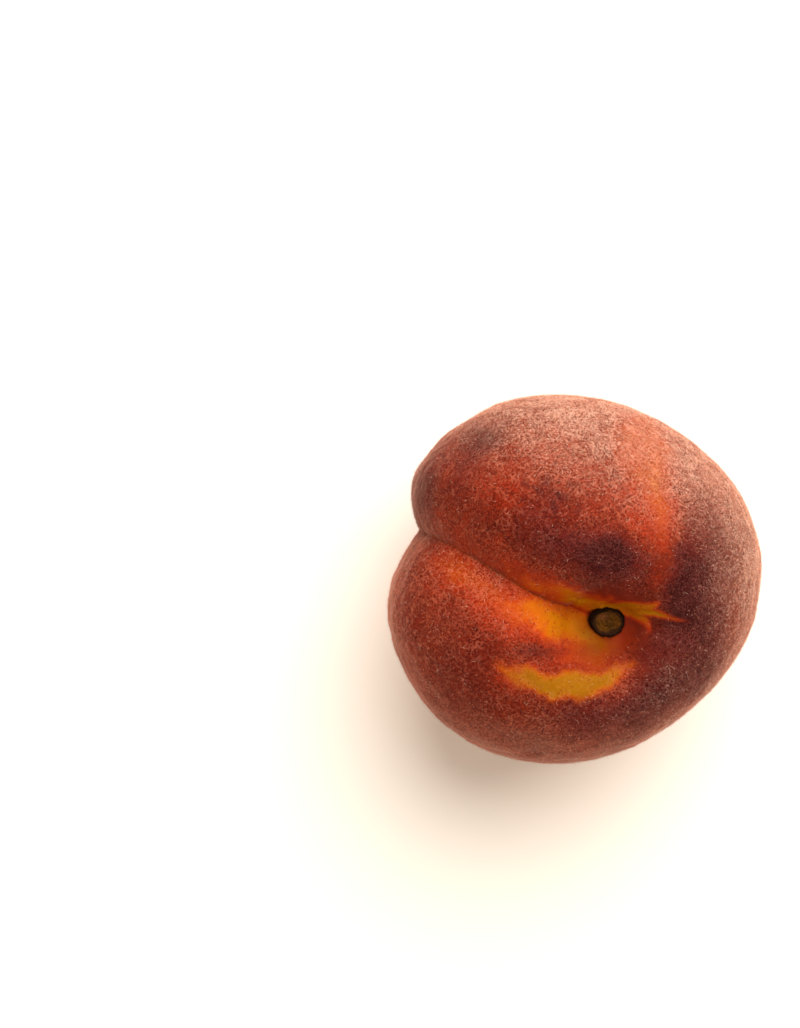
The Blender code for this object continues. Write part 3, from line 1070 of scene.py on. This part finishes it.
# %% Height of the stalk end
NOTCHES = ((1.75, 0.10, 0.75), (-1.45, 0.07, 0.9), (0.2, 0.06, 0.5),
           (2.9, 0.08, 0.5), (-2.6, 0.05, 0.45), (-0.6, 0.05, 0.4))  # place, width, depth


def scar_height(share, angle):
    """Height over the hollow's floor at a share of the radius, in metres."""
    rim = 0.45 * np.exp(-(((share - 0.92) / 0.060) ** 2))
    shoulder = 0.30 * ease((share - 0.55) / 0.30) * (0.7 + 0.3 * np.cos(2 * angle + 1.0))
    basin = -0.22 * ease((0.78 - share) / 0.20)
    rings = 0.050 * np.cos(share * 26.0 + 1.6 * np.sin(2 * angle)) * ease((0.8 - share) / 0.1)
    notch = 1.0
    for place, width, depth in NOTCHES:
        off = np.angle(np.exp(1j * (angle - place)))
        notch = notch * (1.0 - depth * np.exp(-((off / width) ** 2)))
    return (rim * notch + shoulder + basin + rings) * MM


print("rim over the middle, mm:", round(float(scar_height(0.92, 1.0) - scar_height(0.3, 1.0)) / MM, 2))

# %% [markdown]
# ## Points of the stalk end
# The outline bulges a little, as a sum of a few waves round the oval. Outside the rim the
# grid turns down and ends in a skirt below the skin, so no gap shows between the two.

# %% Points of the stalk end
SPOKES, SCAR_RINGS = 120, 56
SCAR_BOTTOM = np.array([0.0, 0.0, -0.9 * MM])


def scar_points():
    share = np.linspace(0.0, 1.0, SCAR_RINGS + 1)[1:] ** 0.85
    angle = np.arange(SPOKES) * 2.0 * pi / SPOKES
    share, angle = np.meshgrid(share, angle, indexing="ij")
    edge = 1.0 + 0.030 * np.cos(3 * angle + 0.6) + 0.022 * np.cos(5 * angle - 1.1)
    edge += 0.010 * np.cos(11 * angle + 2.0) + 0.006 * np.cos(23 * angle)
    x = SCAR_ALONG * share * edge * np.cos(angle)
    y = SCAR_ACROSS * share * edge * np.sin(angle)
    flat = np.stack([x, y, np.zeros_like(x)], axis=-1)
    rough = 0.050 * ripple(flat, 0.0009, 41) + 0.035 * ripple(flat, 0.00035, 42)
    z = scar_height(share, angle) + rough * MM * ease(share / 0.15)
    z = z - 0.7 * MM * ease((share - 0.93) / 0.07)
    grid = np.stack([x, y, z], axis=-1)
    skirt = grid[-1] * np.array([0.96, 0.96, 0.0]) + SCAR_BOTTOM
    middle = np.array([0.0, 0.0, scar_height(0.0, 0.0)])
    return np.concatenate([[middle], grid.reshape(-1, 3), skirt, [SCAR_BOTTOM]])


scar = scar_points()
print("stalk end points:", len(scar))

# %% [markdown]
# ## The stalk end's mesh
# The plug is laid down with the same axes as the fruit. Its maps say how far out each point
# is, where the wood is rusty, and where painted shade darkens the gap beside it. Seen from
# above it is flat enough for a straight picture: each point's own place is its place on it.

# %% Build the stalk end
RUST_AND_GAP_SHADE = (  # map, X and Y from the middle and the half sizes, in mm
    ("rust", -0.7, 1.0, 0.9, 0.7),
    # painted shade: a dark patch where the gap beside the plug lies in shadow
    ("gap", -1.2, 2.0, 1.5, 0.45),
)


def build_stalk_end(points):
    world = (points + hollow_floor) @ LYING + MOVE
    ring, fan = grid_faces(SCAR_RINGS + 1, SPOKES)
    mesh = bpy.data.meshes.new("stalk_end")
    mesh.from_pydata(world.tolist(), [], ring.tolist() + fan)
    mesh.update()
    out = np.linalg.norm(points[:, :2] / np.array([SCAR_ALONG, SCAR_ACROSS]), axis=1)
    out[-1] = 1.0
    add_map(mesh, "out", out)
    place = world[:, :2] / MM - scar_middle
    for name, x, y, long_half, short_half in RUST_AND_GAP_SHADE:
        away = ((place[:, 0] - x) / long_half) ** 2 + ((place[:, 1] - y) / short_half) ** 2
        add_map(mesh, name, np.exp(-away))
    index = np.empty(len(mesh.loops), np.int32)
    mesh.loops.foreach_get("vertex_index", index)
    keep_places(mesh, 0.5 + points[index, :2] / (2.2 * SCAR_ALONG))
    mesh.shade_smooth()
    return add_piece("stalk_end", mesh, replaced="stem_scar")


stalk_end = build_stalk_end(scar)
print("stalk end triangles:", sum(len(face.vertices) - 2 for face in stalk_end.data.polygons))

# %% [markdown]
# ## Dry wood
# The rim is almost black, the bark inside it dark brown, and the middle olive brown with
# lighter rings. A sine of the distance from the middle draws the rings, and noise added to
# it keeps them from being perfect circles.

# %% Dry wood
OLIVE_WOOD, BROWN_WOOD = (0.110, 0.037, 0.0035), (0.056, 0.022, 0.003)
GROWTH_RING, DARK_FLECK = (0.140, 0.052, 0.008), (0.030, 0.013, 0.003)
RUSTY_STAIN, DARK_GAP_PAINTED_SHADE = (0.150, 0.048, 0.016), (0.010, 0.0038, 0.002)
BARK, PALE_BARK = (0.024, 0.0088, 0.0038), (0.050, 0.020, 0.007)
RIM, PALE_RIM = (0.0100, 0.0035, 0.0018), (0.024, 0.009, 0.004)


def dry_wood():
    s = Shades("dry_stalk_wood")
    out = s.map("out")
    fleck = s.noise(0.45 * MM, 3.0, 0.7)
    wide = s.noise(1.4 * MM, 2.0, 0.6)
    middle = s.layer(OLIVE_WOOD, BROWN_WOOD, s.between(wide, 0.40, 0.62))
    turns = s.math("MULTIPLY_ADD", out, 30.0, s.times(wide, 16.0))
    ridge = s.between(s.math("SINE", turns), 0.2, 0.9)
    middle = s.layer(middle, GROWTH_RING, s.times(ridge, 0.45))
    middle = s.layer(middle, DARK_FLECK, s.between(fleck, 0.52, 0.70, 0.0, 0.75))
    middle = s.layer(middle, RUSTY_STAIN, s.times(s.map("rust"), 0.8))
    edge = s.math("MULTIPLY_ADD", s.math("SUBTRACT", wide, 0.5), 0.35, out)
    bark = s.layer(BARK, PALE_BARK, s.between(fleck, 0.45, 0.7))
    colour = s.layer(middle, bark, s.between(edge, 0.60, 0.76))
    rim = s.layer(RIM, PALE_RIM, s.between(fleck, 0.52, 0.75))
    colour = s.layer(colour, rim, s.between(out, 0.80, 0.90))
    # painted shade over the gap beside the plug
    colour = s.layer(colour, DARK_GAP_PAINTED_SHADE, s.map("gap"))
    return s.finish(
        Base_Color=colour,
        Roughness=s.between(fleck, 0.3, 0.7, 0.75, 0.9),
        Normal=s.bump(fleck, 0.10 * MM, 0.8),
        Specular_IOR_Level=0.02,
    )


stalk_end.data.materials.append(dry_wood())
print("nodes in the wood:", len(stalk_end.data.materials[0].node_tree.nodes))

# %% [markdown]
# ## The down
# Down is what makes a peach velvety: short pale hairs, bent and tangled, that catch light
# most at the fruit's edge. Particle hair would be the usual way, but it doesn't travel
# with a finished model, so every hair here is a small bent blade of mesh.
#
# First come the places. A face is drawn by chance, more often where it is large and the map
# is high, and then a point on it. The seed makes the same draw at each run.

# %% Places for the hairs
corners_of = skin[quads]
face_area = 0.5 * np.linalg.norm(
    np.cross(corners_of[:, 2] - corners_of[:, 0], corners_of[:, 3] - corners_of[:, 1]), axis=1)
skin_normals = facing(skin)


def unit(vectors):
    return vectors / np.linalg.norm(vectors, axis=1)[:, None]


def scatter(count, share, rng):
    """Random places on the skin, more where the share is high, and the way each faces."""
    weight = face_area * share[quads].mean(axis=1)
    chosen = rng.choice(len(quads), size=count, p=weight / weight.sum())
    u, v = rng.random(count), rng.random(count)
    parts = np.stack([(1 - u) * (1 - v), u * (1 - v), u * v, (1 - u) * v], axis=1)
    corners = quads[chosen]
    place = (skin[corners] * parts[:, :, None]).sum(axis=1)
    normal = (skin_normals[corners] * parts[:, :, None]).sum(axis=1)
    return place, unit(normal)


print("skin area, cm2:", round(float(face_area.sum() * 1e4), 1))

# %% [markdown]
# ## Growing the hairs
# A hair starts a little under the skin, sweeps off along it, bends at the knee and ends in
# a point. Neighbours share part of their direction, since down lies in swirls, and the rest
# is chance. Hairs that would reach through the floor are left out.

# %% Growing the hairs
ROOT_SUNK = 0.02 * MM
CLEAR_OF_FLOOR = 0.05 * MM
SWIRL = 1.1  # how much neighbours share their direction, against chance
CURL = 0.75  # how much a hair turns at the knee
LIFT, BOW = 0.15, 0.35  # the upper half lifts a little, and bows down if the lower stood up
TWIST = 0.6  # how much a blade is turned on its own length, by chance
KNEE_WIDTH = 0.8  # as a share of the width at the root


def grow_hairs(count, share, length, width, rise, seed):
    """Five corners for each hair: two at the root, two at the knee and the tip."""
    rng = np.random.default_rng(seed)
    place, normal = scatter(count, share, rng)
    swirl = np.stack([ripple(place, 0.004, seed + turn) for turn in (1, 2, 3)], axis=1)
    sweep = unit(rng.normal(size=(count, 3)) + SWIRL * swirl)
    sweep = unit(sweep - normal * (sweep * normal).sum(axis=1)[:, None])
    up = rng.uniform(*rise, (count, 1))
    first = unit(sweep + normal * up)
    curl = unit(rng.normal(size=(count, 3)))
    second = unit(first + CURL * curl + normal * (LIFT - BOW * up))
    reach = rng.uniform(*length, (count, 1)) * MM
    half = rng.uniform(*width, (count, 1)) * MM / 2.0
    flat = unit(np.cross(first, normal + TWIST * rng.normal(size=(count, 3))))
    root = place - normal * ROOT_SUNK
    knee = root + first * reach * 0.5
    tip = knee + second * reach * 0.5
    side, knee_side = flat * half, flat * half * KNEE_WIDTH
    hairs = np.stack([root - side, root + side, knee + knee_side, knee - knee_side, tip], axis=1)
    return hairs[hairs[:, :, 2].min(axis=1) > CLEAR_OF_FLOOR]


print("hairs start this far under the skin, mm:", ROOT_SUNK / MM)

# %% [markdown]
# ## Hairs as one mesh
# Each blade is three triangles: two below the knee and one for the tip. Tens of thousands
# of them go into one mesh, because Blender handles one large mesh far better than
# thousands of small objects. The arrays are handed over whole, which takes no time.

# %% A mesh of hairs
BLADE = np.array([[0, 1, 2], [0, 2, 3], [3, 2, 4]])


def hair_mesh(name, hairs):
    faces = np.arange(len(hairs))[:, None, None] * 5 + BLADE
    triangles = len(hairs) * len(BLADE)
    mesh = bpy.data.meshes.new(name)
    mesh.vertices.add(len(hairs) * 5)
    mesh.vertices.foreach_set("co", hairs.ravel().astype(np.float32))
    mesh.loops.add(triangles * 3)
    mesh.loops.foreach_set("vertex_index", faces.ravel().astype(np.int32))
    mesh.polygons.add(triangles)
    mesh.polygons.foreach_set("loop_start", (np.arange(triangles) * 3).astype(np.int32))
    mesh.update(calc_edges=True)
    mesh.shade_smooth()
    return mesh


def hair_finish(name, colour):
    s = Shades(name)
    return s.finish(Base_Color=colour, Roughness=0.55, Specular_IOR_Level=0.05)


print("triangles in a hair:", len(BLADE))

# %% [markdown]
# ## Four tints of down
# Down lets light through and takes on some of the colour under it: rosy over the blush,
# dusky over the purple and golden over the gold. The pale tint is partly painted highlight:
# a few nearly white hairs stand everywhere, and many on the flanks that face the light. A piece for
# each tint keeps the colour with the hairs when the model leaves Blender. Pale hairs lie flatter and
# are a little wider, and golden ones stand up.

# %% The four tints of down
on_purple = ease((blush - 0.68) / 0.2)
on_gold = ease((0.60 - blush) / 0.25)
TUFTS = (  # hairs, where, length and width in mm, rise from the skin, seed, colour
    ("down_rosy", 64000, thick * (1.0 - 0.8 * on_purple) * (1.0 - 0.7 * on_gold),
     (0.4, 0.8), (0.014, 0.030), (0.2, 1.6), 101, (0.66, 0.190, 0.102)),
    ("down_dusky", 52000, thick * (0.04 + on_purple),
     (0.4, 0.9), (0.014, 0.030), (0.1, 1.2), 201, (0.31, 0.088, 0.066)),
    ("down_golden", 36000, thick * (0.04 + on_gold),
     (0.4, 0.8), (0.010, 0.022), (0.3, 2.2), 301, (0.80, 0.34, 0.11)),
    # pale hairs: a few everywhere, the rest a painted highlight where the light catches the down
    ("down_pale", 64000, thick * (0.05 + silver),
     (0.35, 0.85), (0.018, 0.040), (0.05, 0.7), 401, (0.86, 0.53, 0.38)),
)
for name, count, share, length, width, rise, seed, colour in TUFTS:
    hairs = grow_hairs(count, share, length, width, rise, seed)
    down = add_piece(name, hair_mesh(name, hairs))
    down.data.materials.append(hair_finish(name + "_hair", colour))
    print(name, "hairs:", len(hairs), "triangles:", len(hairs) * len(BLADE))

# %% [markdown]
# ## Done
